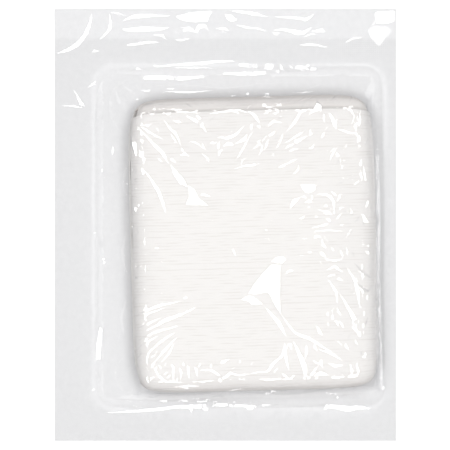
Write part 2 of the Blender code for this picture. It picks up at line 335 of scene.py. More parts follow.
leaf_pitch = LEAF_THICKNESS + LEAF_GAP
stack_height = LEAF_THICKNESS + (LEAF_COUNT - 1) * leaf_pitch
gauze_x = tray_left + ROOM_LEFT + GAUZE_WIDTH / 2
gauze_y = tray_foot + ROOM_FOOT_END + GAUZE_LENGTH / 2
turn_cos, turn_sin = math.cos(GAUZE_TURN), math.sin(GAUZE_TURN)


def on_block(x, y):
    """A point of the pouch as the turned block sees it, from the block's centre."""
    right, up = x - gauze_x, y - gauze_y
    return right * turn_cos + up * turn_sin, up * turn_cos - right * turn_sin


def on_pouch(right, up):
    """A point given from the block's centre and along its sides, as the pouch sees it."""
    return gauze_x + right * turn_cos - up * turn_sin, gauze_y + right * turn_sin + up * turn_cos


def shoulder_share(inside):
    """The block's height, as a share of its full height, this far in from one of its edges."""
    t = np.clip(inside / SHOULDER_RUN, 0.0, 1.0)
    return EDGE_HEIGHT_SHARE + (1 - EDGE_HEIGHT_SHARE) * np.sqrt(1 - (1 - t) ** 2)


def block_share(right, up):
    """The block's height as a share of its full height, with its shoulders and its soft undulation."""
    over = shoulder_share(GAUZE_WIDTH / 2 - np.abs(right)) * shoulder_share(GAUZE_LENGTH / 2 - np.abs(up))
    soft = 0.6 * waver(right, up, BROAD_UNDULATION, seed=11) + 0.4 * waver(right, up, SMALL_UNDULATION, seed=12)
    return over * (1 + SURFACE_UNDULATION / stack_height * soft)


def strip_path():
    """The folded strip's centreline: how far up the block, how high, and how far along the strip."""
    half = GAUZE_LENGTH / 2
    reach = (leaf_pitch + LEAF_THICKNESS) / 2
    ups, heights = [], []
    for leaf in range(LEAF_COUNT):
        heading = -1 if leaf % 2 == 0 else 1
        first, last = leaf == 0, leaf == LEAF_COUNT - 1
        before = END_SWAY * LEAF_SHORTS[max(leaf - 1, 0)] + reach
        after = END_SWAY * LEAF_SHORTS[leaf] + reach
        start = -heading * (half - (FREE_EDGE_SETBACK if first else before))
        end = heading * (half - (FREE_EDGE_SETBACK if last else after))
        height = LEAF_THICKNESS / 2 + leaf * leaf_pitch
        steps = TOP_STEPS if last else HIDDEN_STEPS
        ups.extend(start + (end - start) * i / steps for i in range(steps + 1))
        heights.extend([height] * (steps + 1))
        if not last:
            turns = [math.pi * i / BEND_STEPS for i in range(1, BEND_STEPS)]
            ups.extend(end + heading * leaf_pitch / 2 * math.sin(t) for t in turns)
            heights.extend(height + leaf_pitch / 2 * (1 - math.cos(t)) for t in turns)
    ups, heights = np.array(ups), np.array(heights)
    run = np.concatenate([[0.0], np.cumsum(np.hypot(np.diff(ups), np.diff(heights)))])
    return ups, heights, run


def strip_outline():
    """Round the strip's cut from its lower left: how far across, and how far from its mid plane as a share."""
    across = np.linspace(-1, 1, ACROSS_STEPS + 1) * (GAUZE_WIDTH / 2 - PLY_BULGE)
    rising = np.arange(1, PLIES * 4) / (PLIES * 4)
    edge = GAUZE_WIDTH / 2 - PLY_BULGE + PLY_BULGE * np.abs(np.sin(np.pi * PLIES * rising))
    xs = np.concatenate([across, edge, across[::-1], -edge])
    shares = np.concatenate([np.full(len(across), -0.5), rising - 0.5, np.full(len(across), 0.5), 0.5 - rising])
    return xs, shares


up_path, height_path, run_path = strip_path()
outline_x, outline_share = strip_outline()
around = np.arange(len(outline_x) + 1)
gauze, column, row = sheet_of("folded_gauze_strip", around, np.arange(len(up_path)))
heading_up = np.gradient(up_path, run_path)
heading_high = np.gradient(height_path, run_path)
column_around = column % len(outline_x)
off_middle = outline_share[column_around] * LEAF_THICKNESS
right = outline_x[column_around]
up = up_path[row] - heading_high[row] * off_middle
high = height_path[row] + heading_up[row] * off_middle

# Each ply's folded edge strays a little in and out along the strip, and each leaf lies to its own side.
ply = np.floor(np.clip(outline_share[column_around] + 0.5, 0, 0.999) * PLIES)
near_edge = np.clip((np.abs(right) - GAUZE_WIDTH / 2 + 3 * PLY_BULGE) / (3 * PLY_BULGE), 0, 1)
stray = waver(run_path[row], ply * 3.7 + np.sign(right), PLY_STRAY_SIZE, seed=21) * PLY_STRAY
right = right - np.sign(right) * near_edge * np.abs(stray)
level = np.clip((high - LEAF_THICKNESS / 2) / leaf_pitch, 0, LEAF_COUNT - 1)
sway = SIDE_SWAY * np.interp(level, np.arange(LEAF_COUNT), LEAF_SIDES)
across = np.clip(np.abs(right) / (GAUZE_WIDTH / 2), 0, 1)
along = np.clip(np.abs(up) / (GAUZE_LENGTH / 2), 0, 1)
inward = (np.abs(sway) - sway * np.sign(right)) * across**SIDE_SHARPNESS
pull = CORNER_PULL * (across * along) ** CORNER_SHARPNESS
share = block_share(right, up)
x, y = on_pouch(right - np.sign(right) * (inward + pull), up - np.sign(up) * pull)
move_points(gauze, x, y, GAUZE_SEAT + high * share)

# Painted shade: a share that grows towards the block's short ends, where its shoulders turn down out of the light,
# for the gauze's colour to darken by.
painted_end_shade = 1 - shoulder_share(GAUZE_LENGTH / 2 - np.abs(up))
keep_on_points(gauze, "painted_end_shade", painted_end_shade / (1 - EDGE_HEIGHT_SHARE))

# The weave follows the cloth: its map holds metres across the strip and metres along it.
cloth_map = gauze.data.uv_layers.new(name="cloth") if not gauze.data.uv_layers else gauze.data.uv_layers[0]
cloth_map.name = "cloth"
corner_vertex = np.zeros(len(gauze.data.loops), int)
gauze.data.loops.foreach_get("vertex_index", corner_vertex)
cloth_places = np.stack([outline_x[column_around] + 0.07, run_path[row]], axis=1)[corner_vertex]
cloth_map.data.foreach_set("uv", cloth_places.ravel())
select_only(gauze)
bpy.ops.object.mode_set(mode="EDIT")
bpy.ops.mesh.select_all(action="SELECT")
bpy.ops.mesh.remove_doubles(threshold=0.00001)
bpy.ops.mesh.select_all(action="DESELECT")
bpy.ops.mesh.select_non_manifold()
bpy.ops.mesh.fill()
bpy.ops.mesh.select_all(action="SELECT")
bpy.ops.mesh.normals_make_consistent(inside=False)
bpy.ops.object.mode_set(mode="OBJECT")
bpy.ops.object.shade_smooth_by_angle(angle=math.radians(50))

# Cotton gauze is matt, warm white and see-through between its threads, so the rows show as fine broken lines.
# The threads are drawn at the pitch that the eye makes out, which is two or three real ones.
cotton_gauze = new_material("bleached_cotton_gauze")
cloth = add_node(cotton_gauze, "ShaderNodeUVMap", {"uv_map": "cloth"}).outputs["UV"]
drift = add_node(
    cotton_gauze,
    "ShaderNodeTexNoise",
    inputs={"Vector": cloth, "Scale": 90.0, "Detail": 2.0},
)
drifted = add_node(
    cotton_gauze,
    "ShaderNodeVectorMath",
    {"operation": "SCALE"},
    {0: drift.outputs["Color"], "Scale": 0.0008},
)
threads_at = add_node(
    cotton_gauze,
    "ShaderNodeVectorMath",
    {"operation": "ADD"},
    {0: cloth, 1: drifted.outputs["Vector"]},
)
weave = add_node(cotton_gauze, "ShaderNodeSeparateXYZ", inputs={"Vector": threads_at.outputs["Vector"]})


def thread_wave(across_socket, pitch_mm):
    """A wave that is 1 in each gap between two threads and 0 on the threads."""
    turn = add_node(
        cotton_gauze,
        "ShaderNodeMath",
        {"operation": "MULTIPLY"},
        {0: across_socket, 1: math.tau * 1000.0 / pitch_mm},
    )
    wave = add_node(cotton_gauze, "ShaderNodeMath", {"operation": "COSINE"}, {0: turn.outputs[0]})
    lifted = add_node(
        cotton_gauze,
        "ShaderNodeMath",
        {"operation": "MULTIPLY_ADD"},
        {0: wave.outputs[0], 1: 0.5, 2: 0.5},
    )
    narrowed = add_node(cotton_gauze, "ShaderNodeMath", {"operation": "POWER"}, {0: lifted.outputs[0], 1: 2.0})
    return narrowed.outputs[0]


picks = thread_wave(weave.outputs["Y"], THREAD_PITCH_MM)
ends = thread_wave(weave.outputs["X"], PICK_PITCH_MM)
slubs = add_node(
    cotton_gauze,
    "ShaderNodeMapping",
    inputs={"Vector": cloth, "Scale": (110.0, 800.0, 1.0)},
)
broken = add_node(
    cotton_gauze,
    "ShaderNodeTexNoise",
    inputs={"Vector": slubs.outputs["Vector"], "Scale": 1.0, "Detail": 2.0},
)
dashes = add_node(
    cotton_gauze,
    "ShaderNodeMath",
    {"operation": "MULTIPLY_ADD", "use_clamp": True},
    {0: broken.outputs["Fac"], 1: 4.5, 2: -1.9},
)
lines = add_node(cotton_gauze, "ShaderNodeMath", {"operation": "MULTIPLY"}, {0: picks, 1: dashes.outputs[0]})
mesh_height = add_node(
    cotton_gauze,
    "ShaderNodeMath",
    {"operation": "MULTIPLY_ADD"},
    {0: ends, 1: 0.07, 2: lines.outputs[0]},
)
cloth_shade = add_node(cotton_gauze, "ShaderNodeValToRGB", inputs={"Fac": mesh_height.outputs[0]})
cloth_shade.color_ramp.elements[0].position = 0.1
cloth_shade.color_ramp.elements[0].color = linear("#E7E5E3")
cloth_shade.color_ramp.elements[1].position = 0.9
cloth_shade.color_ramp.elements[1].color = linear("#DEDBD8")
# Painted shade: the gauze's colour is darkened to a warm grey towards the block's short ends.
painted_end_shade_node = add_node(cotton_gauze, "ShaderNodeAttribute", {"attribute_name": "painted_end_shade"})
shaded = add_node(
    cotton_gauze,
    "ShaderNodeMix",
    {"data_type": "RGBA"},
    {"Factor": painted_end_shade_node.outputs["Fac"], "A": cloth_shade.outputs["Color"], "B": linear("#D8D1CD")},
)
fuzz = add_node(
    cotton_gauze,
    "ShaderNodeTexNoise",
    inputs={"Vector": cloth, "Scale": 3000.0, "Detail": 2.0},
)
thread_bump = add_node(
    cotton_gauze,
    "ShaderNodeBump",
    {"invert": True},
    {"Height": mesh_height.outputs[0], "Strength": 0.15, "Distance": 0.15 * MM},
)
fuzz_bump = add_node(
    cotton_gauze,
    "ShaderNodeBump",
    inputs={
        "Height": fuzz.outputs["Fac"],
        "Strength": 0.4,
        "Distance": 0.05 * MM,
        "Normal": thread_bump.outputs["Normal"],
    },
)
gauze_shader = add_node(
    cotton_gauze,
    "ShaderNodeBsdfPrincipled",
    inputs={
        "Base Color": shaded.outputs["Result"],
        "Roughness": 0.92,
        "Specular IOR Level": 0.2,
        "Sheen Weight": 0.15,
        "Sheen Roughness": 0.5,
        "Normal": fuzz_bump.outputs["Normal"],
    },
)
add_node(cotton_gauze, "ShaderNodeOutputMaterial", inputs={"Surface": gauze_shader.outputs["BSDF"]})
gauze.data.materials.append(cotton_gauze)
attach(gauze, "root")
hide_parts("gauze")


# The film cover. It is a clear packing film, drawn into a shallow tray, laid over the gauze and sealed to the paper
# all round with a knurled bar. Drawn tight and let go, it creases along straight lines at every angle, and the flat
# flanks between them throw sharp glints: long folds run in from the block's corners and the unsealed end ripples.

FILM_THICKNESS = 0.1 * MM
FILM_OVER_PAPER = 0.06 * MM
FILM_OVER_GAUZE = 0.3 * MM
WALL_RUN = 3.8 * MM
WALL_HEIGHT_SHARE = 0.1
ROOM_RIGHT = 3.8 * MM
ROOM_PEEL_END = 14.1 * MM
SIDE_CLEARANCE = 0.7 * MM
EDGE_CLEARANCE = 0.7 * MM
RIM_STEP = 1.6 * MM
CREASE_STEP = 1.2 * MM
CREASE_ROOM = 0.55 * MM
CORNER_STEPS = 10
SHOULDER_WANDER = 0.8 * MM
SHOULDER_WANDER_SIZE = 13.0 * MM
FLAP_RIPPLE = 0.12 * MM
FLAP_RIPPLE_SIZE = 9.0 * MM
FLAP_RUN = 4.0 * MM
SHOULDER_SLOPES = (0.0, 0.33, 0.8, 1.8)
LIT_SLOPE = 0.187
DARK_SLOPE = 0.8
FOLD_STEP = 2.4 * MM
FOLD_WANDER = 0.3 * MM
FOLD_WANDER_SIZE = 2.5 * MM
WIDTH_STRAY_SIZE = 1.9 * MM
WIDTH_STRAY = 0.2
BACK_SHARE = 0.25
BACK_LEAST = 0.28 * MM
BACK_MOST = 1.3 * MM
FOLD_ROOM = 0.45 * MM
FAN_WIDEST = 0.5
FAN_FULLNESS = 0.8
NET_STRAY = 0.22
CROWDED_INSIDE = 4.0 * MM
CROWDED_REACH = 8.0 * MM
CROWDED_LEAST = 0.1
FACET_FOOT = 0.15 * MM
FACET_LEAN = 0.45
CRUMPLE_RISE = 0.16 * MM

# One row for each fold that shows by itself: the width of its flat lit flank in mm, to the left of its route or to
# the right if negative, how far along its route it is widest, how full its ends are (1 runs out evenly, 0.2 is
# blunt), and its route in mm from the pouch's centre.
FOLD_COLUMNS = ("lit", "widest", "fullness", "route")
FOLDS = (
    # The diagonals from the block's top left corner.
    (1.3, 0.8, 1.0, ((-41, 46), (-36, 40), (-30, 33.2), (-25.6, 28))),
    (0.8, 0.2, 0.7, ((-11.2, 13.6), (-6.6, 12.8))),
    (1.5, 0.7, 1.0, ((-39.3, 27.3), (-34, 20.7), (-30.8, 14.9), (-26.9, 5.1))),
    (-0.8, 0.4, 0.8, ((-39.5, 45.5), (-33, 41.5), (-27.5, 38.4))),
    (0.9, 0.6, 0.8, ((-28.4, 48), (-25, 43), (-22, 40), (-20.5, 36))),
    (1.6, 0.4, 0.8, ((-20.6, 31.4), (-16.2, 31.2))),
    (2.2, 0.4, 0.5, ((-42.6, 41), (-42.2, 36), (-40.4, 30.6))),
    (-1.2, 0.5, 0.8, ((-38.8, 34), (-36.6, 29.8))),
    (1.5, 0.2, 0.8, ((-41.6, 8.6), (-40.2, 4.8))),
    # The top band.
    (-0.6, 0.5, 0.8, ((-27, 52.6), (-19, 51.6), (-11.2, 50.4))),
    (1.0, 0.5, 0.7, ((-7.4, 50.2), (0, 50.8), (6, 51.6), (11, 50.6))),
    (1.6, 0.5, 0.8, ((-17.8, 49.2), (-14, 46.6), (-11.4, 44.9), (-8.6, 41.6))),
    (-1.2, 0.3, 0.8, ((-3.4, 39.8), (1, 39.6), (4.4, 41), (8.6, 45))),
    (1.6, 0.5, 0.7, ((-1, 35.6), (4, 36))),
    (-1.4, 0.6, 0.9, ((4.6, 36.8), (7.5, 38.6), (9.9, 41.4))),
    (0.6, 0.3, 0.8, ((5.2, 29.9), (9, 35.6), (12.4, 42.8))),
    (1.0, 0.7, 0.7, ((4.2, 25.4), (9, 26.4), (12.5, 26.4), (16.8, 28.6))),
    (1.1, 0.4, 0.8, ((9.9, 51.4), (12.6, 49.4), (16.2, 44.8))),
    (-0.9, 0.5, 0.8, ((12.4, 34.2), (15, 36.6), (18.8, 39.6))),
    (0.8, 0.5, 0.6, ((16, 52), (18, 54.2), (19.5, 52.2), (22.8, 54.4))),
    (2.6, 0.5, 1.0, ((22, 29), (24, 28.8), (26.6, 28.8))),
    (-1.0, 0.5, 0.7, ((24, 26), (28, 28.2))),
    (1.7, 0.5, 0.7, ((26.4, 34), (31, 36), (37.2, 40.2))),
    (0.7, 0.5, 0.7, ((27, 37), (31, 39), (35.6, 42.4))),
    (-1.0, 0.3, 0.8, ((27.8, 42.4), (31, 46.8), (33.1, 50.2), (36.4, 56.8))),
    (0.8, 0.5, 0.8, ((18, 44.2), (22, 46.4), (26, 46))),
    (1.0, 0.4, 0.8, ((44.1, 50.4), (44.6, 46.4))),
    (1.1, 0.6, 0.8, ((46.4, 51), (48, 48), (48.4, 45))),
    (0.9, 0.5, 0.8, ((48, 44.6), (55, 41.4), (63, 40), (66.4, 37.4))),
    (0.8, 0.5, 0.8, ((50, 56.6), (55, 53.4), (58, 49), (57, 45))),
    (0.8, 0.5, 0.8, ((61, 52), (60, 46), (63.5, 43))),
    (0.9, 0.4, 0.9, ((-28.2, 60.3), (-16.4, 59.7), (-6, 60.9))),
    (2.2, 0.5, 1.0, ((-36.8, 54.6), (-34.6, 55.2), (-32, 54.6))),
    (1.2, 0.4, 1.0, ((-33.8, 61.2), (-34.8, 57.4))),
    (-1.1, 0.4, 1.0, ((-37.6, 58.6), (-35.8, 56.6))),
    # The right side.
    (0.9, 0.4, 0.8, ((38.9, 13.6), (38.4, 10.8))),
    (1.3, 0.5, 0.6, ((35.8, 10.2), (39.6, 10.4))),
    (1.7, 0.5, 0.35, ((29.2, 7.6), (33.6, 12.4))),
    (1.1, 0.5, 0.7, ((40.6, 13.8), (45, 13.4), (48.6, 10.8), (48.9, 5.8))),
    (-0.9, 0.5, 0.8, ((44, 10.4), (46.6, 8.2))),
    (0.8, 0.6, 0.8, ((38.8, -1.4), (43, -0.8), (47.6, 0.8))),
    (0.5, 0.4, 0.7, ((39.8, -2.8), (46, -2.6), (53, -2.8))),
    (0.9, 0.5, 0.7, ((44.8, -15.4), (49, -16.6), (53.6, -15.2))),
    (-0.9, 0.5, 0.7, ((45.4, -20.4), (49.4, -18.2), (53.2, -21.6))),
    (0.8, 0.5, 0.8, ((46, -23.4), (51, -22.4))),
    (1.3, 0.6, 0.9, ((54.6, -18.8), (58.4, -26), (60.6, -37.4))),
    (1.7, 0.7, 0.9, ((51.6, -31), (55.6, -39), (59.8, -47.8))),
    (2.8, 0.7, 1.0, ((57, -45.8), (60.8, -50.6))),
    (0.9, 0.5, 0.9, ((46.6, -24.8), (49.6, -30.4), (50.8, -36))),
    (0.8, 0.5, 0.8, ((51, -43), (53.4, -46.6))),
    # The big peak below the middle, and the folds that run from it to the foot.
    (1.1, 0.6, 0.7, ((27, -22), (30.8, -20.6))),
    (0.8, 0.4, 0.8, ((3.1, -10.8), (4.5, -14))),
    (1.6, 0.55, 0.7, ((18, -37.4), (22.4, -43.4), (27.2, -50))),
    (1.1, 0.5, 0.9, ((25.4, -40.8), (31, -49), (40, -53), (51.4, -59.6))),
    (-1.3, 0.4, 0.9, ((28, -52.8), (27.4, -59), (29, -66.2))),
    (2.1, 0.55, 0.9, ((30.6, -52.6), (33.2, -59.5), (35.8, -68.2), (37.8, -72.2))),
    (1.2, 0.5, 0.9, ((36.6, -54), (36, -60.2))),
    (1.3, 0.4, 0.8, ((37.8, -70.4), (40.4, -66.6), (42, -63.6))),
    (1.6, 0.5, 0.8, ((39, -68.6), (43, -68), (46.8, -67.8))),
    (0.7, 0.5, 0.8, ((42, -56), (48, -58.6), (53, -61.2))),
    (1.2, 0.5, 0.9, ((46, -62.4), (50, -64.4), (53.6, -63))),
    (1.0, 0.5, 0.7, ((56.4, -62.6), (56.8, -69))),
    (1.0, 0.5, 0.7, ((59.4, -62), (59.6, -68.4))),
    # The jagged glint along the shoulder at the block's foot.
    (-1.1, 0.5, 0.5, ((-11.4, -65.4), (-6, -65), (-0.8, -68.6), (1.8, -66), (6, -67.6), (11, -67))),
    (-1.0, 0.5, 0.6, ((11.4, -67.4), (15, -66), (18.8, -66.4), (20.4, -63), (25.2, -59.4), (27, -53))),
    (1.0, 0.5, 0.8, ((-3.6, -63.6), (1.8, -60.6))),
    (-1.3, 0.4, 0.8, ((-32.4, -64), (-29, -68.6), (-25.6, -71.2))),
    (1.1, 0.3, 0.8, ((-24.4, -62.4), (-23.4, -70.6))),
    (1.0, 0.4, 0.8, ((-21, -64.2), (-20.2, -69.6))),
    (1.2, 0.3, 0.8, ((-17.4, -63.4), (-16.6, -69))),
    (1.0, 0.4, 0.8, ((-14.2, -64), (-12.6, -68.4))),
    # The tray's top edge, in two long lens-shaped lines.
    (-1.3, 0.6, 0.6, ((-33, 71.8), (-24, 72.8), (-12, 74.2), (-1, 74.9), (5, 74.5))),
    (-2.4, 0.5, 0.5, ((2, 74), (8, 73.3), (20, 72.9), (34, 72.2), (43.4, 70.9))),
    (1.1, 0.6, 0.8, ((-44.8, 69.5), (-40.6, 70.4), (-36.4, 70.6))),
    (0.5, 0.5, 0.7, ((-24, 71.4), (-14, 71.3), (-4, 71.1))),
    (-1.8, 0.45, 0.5, ((-49.7, 68.9), (-44.6, 68.4), (-38, 67.6), (-28, 67.8), (-20, 67.2), (-10, 67.7),
                      (-4, 68.4))),
    (-1.5, 0.35, 0.5, ((-3.4, 68.9), (6, 69.1), (14, 69.6), (24, 70.2), (38, 70.6))),
    (-0.9, 0.5, 0.8, ((51.4, 69.7), (54.4, 67.6), (58, 65.9))),
    (0.8, 0.5, 0.8, ((60, 64.4), (62.6, 64.3), (65.8, 65.8))),
    (0.9, 0.5, 0.8, ((-62.4, 62.4), (-56.9, 65.1))),
    (-1.5, 0.8, 1.0, ((-68.8, 61.2), (-66.4, 57.8), (-64, 54))),
    (0.7, 0.6, 0.7, ((-74.6, 54.3), (-69, 53.6), (-64.4, 53.2))),
    # The tray's left and foot edges.
    (1.4, 0.1, 0.9, ((-59.9, -65.4), (-57.8, -68.6), (-56.2, -72))),
    (0.8, 0.3, 0.5, ((-60.2, -73.8), (-56.9, -77.9), (-47.7, -79.2), (-32, -80), (-0.8, -80.2), (20, -80.9))),
    (-1.7, 0.5, 0.6, ((-53.6, -85.2), (-41.2, -84.3), (-21.6, -82), (-3.4, -80.9), (12.3, -81.8), (29.2, -80.9))),
    (-2.4, 0.6, 0.6, ((40.6, -81.4), (47.5, -81.6), (53, -82), (58, -82.6), (60.4, -81.8), (66, -83.6))),
    (0.7, 0.5, 0.8, ((57, -80.4), (64.6, -79.6))),
    # The loose peel flap's streaks and wavy lines.
    (-1.7, 0.35, 0.6, ((-46.4, 93), (-42, 95.3), (-36, 95.9), (-25.4, 95.2))),
    (-2.3, 0.5, 0.5, ((-47, 88.9), (-40, 90), (-34, 89.9), (-25.6, 89.8))),
    (1.3, 0.6, 0.5, ((-45.4, 81.4), (-41, 81.7), (-36, 82.3), (-30.4, 82.8))),
    (-1.2, 0.6, 0.7, ((2, 97.3), (10, 96.9), (15.6, 95.9), (19.4, 94.4))),
    (-1.3, 0.6, 0.7, ((22, 94.6), (28, 94.9), (33, 94.7), (36.4, 93.6), (40.4, 95.8))),
    (-1.0, 0.4, 0.7, ((5, 91), (9.6, 90.4), (14, 89.8), (18.4, 88.2))),
    (-1.8, 0.6, 0.7, ((21.4, 88.8), (26, 89.2), (31, 88.8), (35, 87.8), (39.4, 90))),
    (-1.1, 0.4, 0.6, ((34, 81.8), (38, 82.5), (42, 81.9), (46.4, 81))),
    (-2.2, 0.4, 0.8, ((-76.4, 78), (-72.6, 79.6), (-68, 82.8), (-64.6, 86.6), (-62, 91.4), (-60.6, 97))),
    (1.2, 0.5, 0.8, ((-52.8, 96.4), (-52.6, 92), (-53.6, 88.4), (-57, 84.2))),
    (1.1, 0.5, 0.7, ((-60.8, 78.2), (-57.4, 79))),
    (0.8, 0.5, 0.8, ((54.4, 82.6), (58, 84.6), (62.4, 85.4))),
)

# One row for each broad flat facet: the bearing that it rises towards in degrees, its slope, and its corners in mm.
FACET_COLUMNS = ("bearing", "slope", "corners")
FACETS = (
    # The end of the long diagonal, and the star below it.
    (-50, 0.18, ((-24.8, 27.4), (-19.6, 21.8), (-17.4, 17.2), (-20.8, 19), (-22.9, 22.4))),
    (-80, 0.18, ((-16.8, 17.6), (-14.2, 16), (-12.6, 12.2), (-7.8, 8.9), (-17.8, 9.3), (-16.4, 12.6))),
    # The big peak below the middle.
    (100, 0.18, ((21.2, -16.6), (22.8, -14.7), (26.4, -14.3), (27.4, -15.4), (25.4, -17.2), (22.8, -17.1))),
    (-20, 0.16, ((20.6, -18), (24.7, -18.3), (24.4, -30), (24.8, -39.2), (22.2, -35.6), (19.6, -30.2),
                 (13.8, -31.3), (10.4, -30.7), (14.4, -25.2))),
    (-60, 0.18, ((7.2, -33.4), (9.4, -31.9), (12.4, -32.2), (16.9, -35.6), (12.6, -36), (10, -34))),
    # The triangles by the block's right side and its top.
    (-90, 0.18, ((33.9, 18.3), (40.8, 17.9), (40.2, 15.4), (38.4, 14.5), (36.2, 14.6))),
    (0, 0.18, ((41.4, 6.9), (44.9, 6.7), (44.3, 5.8))),
    (-90, 0.18, ((45.6, 6.9), (49.2, 7.6), (49.2, 4.9), (44.4, 5))),
    (120, 0.18, ((37.8, 50.3), (41.4, 54.9), (43.4, 54), (43.6, 51.2), (41.6, 51.7))),
    # The tray's left wall.
    (180, 0.18, ((-57.2, -46.4), (-55.8, -47.2), (-57, -60.8), (-59, -61.4), (-58.5, -54))),
    # The loose flap's broad patches.
    (-90, 0.15, ((-22.4, 94.8), (-14, 96.8), (-6, 97), (-8.4, 92.6), (-16, 92.2), (-20.4, 93.2))),
    (90, 0.15, ((-24, 87.4), (-21.6, 89.2), (-13, 90.8), (-9, 91), (-7.4, 88), (3.8, 87.2),
                (-8.8, 84.6), (-15, 86.2))),
    (-60, 0.16, ((0, 95.7), (2.6, 95.5), (5.2, 93.2), (3, 92.5), (0.6, 93.8))),
    (-90, 0.16, ((67.8, 96), (70.4, 97.2), (76.6, 97), (76.4, 92.4), (73.4, 91.4), (68.6, 91.8))),
    (90, 0.16, ((68.4, 90.8), (73, 90.2), (76, 88.4), (72.6, 84.6), (70, 81.2), (66.8, 84.4),
                (64.5, 88), (65.6, 89.8))),
)

# One row for each steep fold, which shows dark: the film's pockets at the block's left corners and along its sides.
DARK_FOLDS = (
    (1.6, 0.5, 0.5, ((-44.6, 66), (-49.6, 63.4), (-52.2, 57), (-51.8, 49), (-48.4, 43.6), (-45, 41))),
    (-1.2, 0.4, 0.7, ((-50, 62), (-47, 55), (-46.4, 47))),
    (1.0, 0.5, 0.7, ((-46.6, 63), (-42, 59.6), (-38, 62))),
    (1.3, 0.5, 0.6, ((-45.4, -59), (-49.6, -64), (-50.4, -70), (-46.4, -75), (-38, -77))),
    (-1.2, 0.5, 0.7, ((-45.8, -64), (-45.4, -70), (-38.6, -74.6))),
    (1.1, 0.5, 0.6, ((-44.8, 28), (-46.6, 20), (-45, 12))),
    (1.0, 0.5, 0.6, ((-44.8, -2), (-47, -12), (-45.4, -22))),
    (1.2, 0.5, 0.6, ((-45, -33), (-47.6, -42), (-46, -50))),
    (1.2, 0.5, 0.6, ((66.4, 8), (68.4, 2), (66.6, -6))),
    (1.0, 0.5, 0.6, ((58, -17), (62.6, -22), (67, -24.6))),
    (-1.0, 0.5, 0.6, ((59, -26), (64, -29.6), (67.6, -27))),
    (-1.1, 0.5, 0.6, ((-38, 62.6), (-20, 63.6), (0, 61.6), (16, 64), (34, 64.6))),
    (1.0, 0.5, 0.6, ((26, 64.4), (34, 61), (42, 63.4), (50, 60.6), (58, 62.4))),
    (-0.9, 0.5, 0.6, ((-40, -75.6), (-22, -76.6), (-6, -76))),
    (0.9, 0.5, 0.6, ((8, -75.6), (28, -76.8), (46, -74.6), (60, -71))),
)

# One row for each fold of the fan by the block's foot corner, from its top: its lit width, start, middle and end.
FAN = (
    (-1.1, (-42.5, -42.5), (-32, -36.2), (-20.3, -34.5)),
    (-0.7, (-40.4, -43.4), (-34.6, -39.6), (-28, -37.6)),
    (-1.3, (-37.4, -48.6), (-26.9, -42.3), (-13.2, -37.4)),
    (-0.8, (-40.6, -47.6), (-34, -43.8), (-29, -41.6)),
    (-1.0, (-40.8, -53), (-32, -47.9), (-21, -45.4)),
    (-0.8, (-41, -57.4), (-35.6, -52.4), (-30.4, -50)),
    (-1.0, (-35.4, -58.2), (-29.4, -52), (-22.4, -48.4)),
    (-0.9, (-32.4, -62.2), (-26.8, -55), (-21.6, -50.4)),
    (-0.7, (-29, -62), (-25.6, -57.4), (-23.4, -53.6)),
    (-0.9, (-41.6, -62.4), (-38.4, -59), (-36.2, -56.2)),
)

# One row for each zone that the film crumples in: its corners in mm, how many folds it holds, their length and lit
# width in mm, their bearing and its spread in degrees, and the share of them that catch the light.
ZONE_COLUMNS = ("low", "high", "count", "length", "lit", "bearing", "spread", "glinting")
ZONES = (
    ((-38, 27), (-8, 55), 22, 4.4, 1.0, -48, 34, 0.6),
    ((-8, 25), (20, 55), 34, 4.0, 1.0, 40, 40, 0.6),
    ((20, 24), (50, 58), 42, 4.2, 1.1, 52, 36, 0.55),
    ((48, 18), (65, 60), 30, 4.6, 1.6, 70, 50, 0.12),
    ((34, -6), (57, 18), 26, 3.0, 1.0, 12, 60, 0.5),
    ((56, -60), (65, 18), 30, 4.4, 1.5, 80, 40, 0.12),
    ((42, -50), (60, -6), 26, 3.8, 0.9, -62, 26, 0.5),
    ((26, -71), (62, -52), 34, 3.4, 1.0, -74, 40, 0.5),
    ((-36, -71), (26, -62), 46, 2.2, 0.8, 76, 50, 0.6),
    ((-43, -64), (-18, -36), 18, 4.0, 0.7, 36, 16, 0.5),
    ((-45, -36), (-39, 44), 60, 1.9, 0.8, 15, 60, 0.4),
    ((-44, 44), (-28, 60), 20, 2.8, 0.9, 50, 70, 0.4),
    ((-36, -36), (40, 24), 16, 1.8, 0.7, 20, 60, 0.25),
    ((-44, -79), (62, -73), 26, 8.0, 0.7, 2, 7, 0.3),
    ((-45, 57), (60, 64), 22, 7.0, 0.8, 0, 12, 0.2),
    ((-62, -68), (-47, 62), 14, 7.0, 1.2, 88, 18, 0.05),
    ((-50, 84), (60, 96), 18, 5.0, 0.9, 0, 20, 0.4),
)
DULL_SLOPES = ((0.06, 0.125), (0.25, 0.4))

# One row for each net of points that the rest of the film hangs on: the part of the film and the net's cell in mm.
NET_COLUMNS = ("part", "cell")
NETS = (
    ("flange", 4.6),
    ("tray edge", 1.05),
    ("tent", 1.5),
    ("crumpled", 1.15),
    ("calm", 2.4),
    ("flap", 1.3),
)


def tent_share(inside, room):
    """The roof's share of its full height, this far in from the block's edge, or out if negative.

    The film runs straight from its formed wall to where it touches the block's shoulder, a quarter of an ellipse
    that is worked on here as a unit circle, and then goes over it in flat facets that each touch it.
    """
    tall = 1 - EDGE_HEIGHT_SHARE
    foot_x = -(room - SIDE_CLEARANCE + SHOULDER_RUN) / SHOULDER_RUN
    foot_z = (WALL_HEIGHT_SHARE - EDGE_HEIGHT_SHARE) / tall
    touch = math.atan2(foot_z, foot_x) % math.tau - math.acos(1 / math.hypot(foot_x, foot_z))
    taut = (math.sin(touch) - foot_z) / (math.cos(touch) - foot_x)
    at = (inside + SIDE_CLEARANCE - SHOULDER_RUN) / SHOULDER_RUN
    roof = foot_z + taut * np.maximum(at - foot_x, 0)
    for slope in SHOULDER_SLOPES:
        facet = slope * SHOULDER_RUN / (tall * stack_height)
        if facet < taut:
            roof = np.minimum(roof, facet * at + math.hypot(1, facet))
    return EDGE_HEIGHT_SHARE + tall * roof


